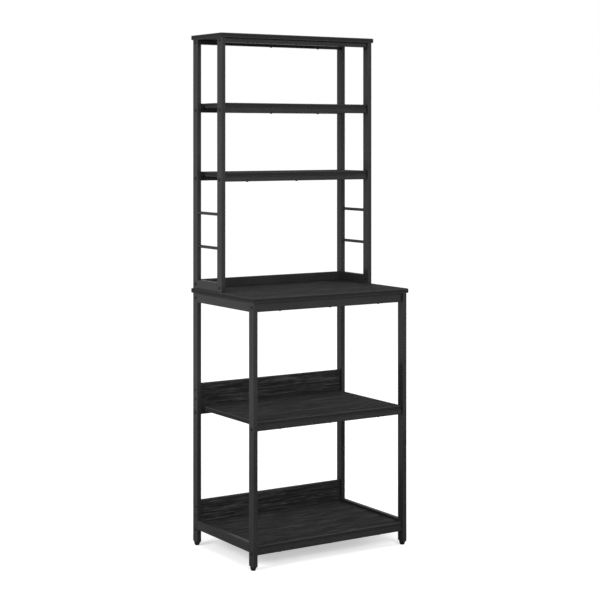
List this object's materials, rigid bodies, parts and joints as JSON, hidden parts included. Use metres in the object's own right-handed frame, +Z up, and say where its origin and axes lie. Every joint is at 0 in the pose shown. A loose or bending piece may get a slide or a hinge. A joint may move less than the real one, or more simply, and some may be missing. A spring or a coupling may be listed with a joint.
{
  "type": "kitchen shelving unit",
  "caption": "Tall black kitchen rack: steel tube base with worktop and two shelves, and a shallower open hutch above with two shelves and a top board, on levelling feet.",
  "frame": {"origin": "on the floor, under the middle of the worktop", "axes": "+X to the right seen from the front, +Y to the back, +Z up"},
  "size_m": [0.6, 0.4, 1.684],
  "materials": {
    "frame_steel": "matt black powder coat",
    "board_laminate": "black wood-grain laminate on chipboard",
    "fixing_black": "black coated steel",
    "plain_steel": "zinc-plated steel",
    "foot_plastic": "black moulded plastic"
  },
  "bodies": {
    "rack": {"base_post_front_left": "frame_steel", "base_post_front_right": "frame_steel", "base_post_rear_left": "frame_steel", "base_post_rear_right": "frame_steel", "worktop_side_rail_left": "frame_steel", "worktop_side_rail_right": "frame_steel", "bottom_side_rail_left": "frame_steel", "bottom_side_rail_right": "frame_steel", "worktop_rail_front": "frame_steel", "worktop_rail_rear": "frame_steel", "middle_shelf_rail_front": "frame_steel", "middle_shelf_rail_rear": "frame_steel", "bottom_shelf_rail_front": "frame_steel", "bottom_shelf_rail_rear": "frame_steel", "hutch_post_front_left": "frame_steel", "hutch_post_front_right": "frame_steel", "hutch_post_rear_left": "frame_steel", "hutch_post_rear_right": "frame_steel", "rim_rail_left": "frame_steel", "rim_rail_right": "frame_steel", "rim_rail_rear": "frame_steel", "lower_rod_left": "frame_steel", "lower_rod_right": "frame_steel", "upper_rod_left": "frame_steel", "upper_rod_right": "frame_steel", "lower_hutch_rail_front": "frame_steel", "lower_hutch_rail_rear": "frame_steel", "upper_hutch_rail_front": "frame_steel", "upper_hutch_rail_rear": "frame_steel", "top_rail_front": "frame_steel", "top_rail_rear": "frame_steel", "bottom_shelf_board": "board_laminate", "middle_shelf_board": "board_laminate", "worktop_board": "board_laminate", "lower_hutch_board": "board_laminate", "upper_hutch_board": "board_laminate", "top_board": "board_laminate", "bottom_panel": "board_laminate", "middle_panel": "board_laminate", "base_bolts": "fixing_black", "hutch_bolts": "fixing_black", "base_board_screws": "fixing_black", "hutch_board_screws": "fixing_black", "panel_screws": "fixing_black", "hutch_spigots": "plain_steel", "base_rail_inserts": "plain_steel", "hutch_rail_inserts": "plain_steel", "foot_nuts": "plain_steel", "foot_plugs": "foot_plastic"},
    "foot_front_left": {"foot_pad_front_left": "foot_plastic", "foot_stud_front_left": "plain_steel"},
    "foot_front_right": {"foot_pad_front_right": "foot_plastic", "foot_stud_front_right": "plain_steel"},
    "foot_rear_left": {"foot_pad_rear_left": "foot_plastic", "foot_stud_rear_left": "plain_steel"},
    "foot_rear_right": {"foot_pad_rear_right": "foot_plastic", "foot_stud_rear_right": "plain_steel"}
  },
  "joints": [
    {"name": "level_front_left", "type": "slide", "parent": "rack", "child": "foot_front_left", "axis": [0, 0, -1], "range_m": [0, 0.01]},
    {"name": "level_front_right", "type": "slide", "parent": "rack", "child": "foot_front_right", "axis": [0, 0, -1], "range_m": [0, 0.01]},
    {"name": "level_rear_left", "type": "slide", "parent": "rack", "child": "foot_rear_left", "axis": [0, 0, -1], "range_m": [0, 0.01]},
    {"name": "level_rear_right", "type": "slide", "parent": "rack", "child": "foot_rear_right", "axis": [0, 0, -1], "range_m": [0, 0.01]}
  ]
}
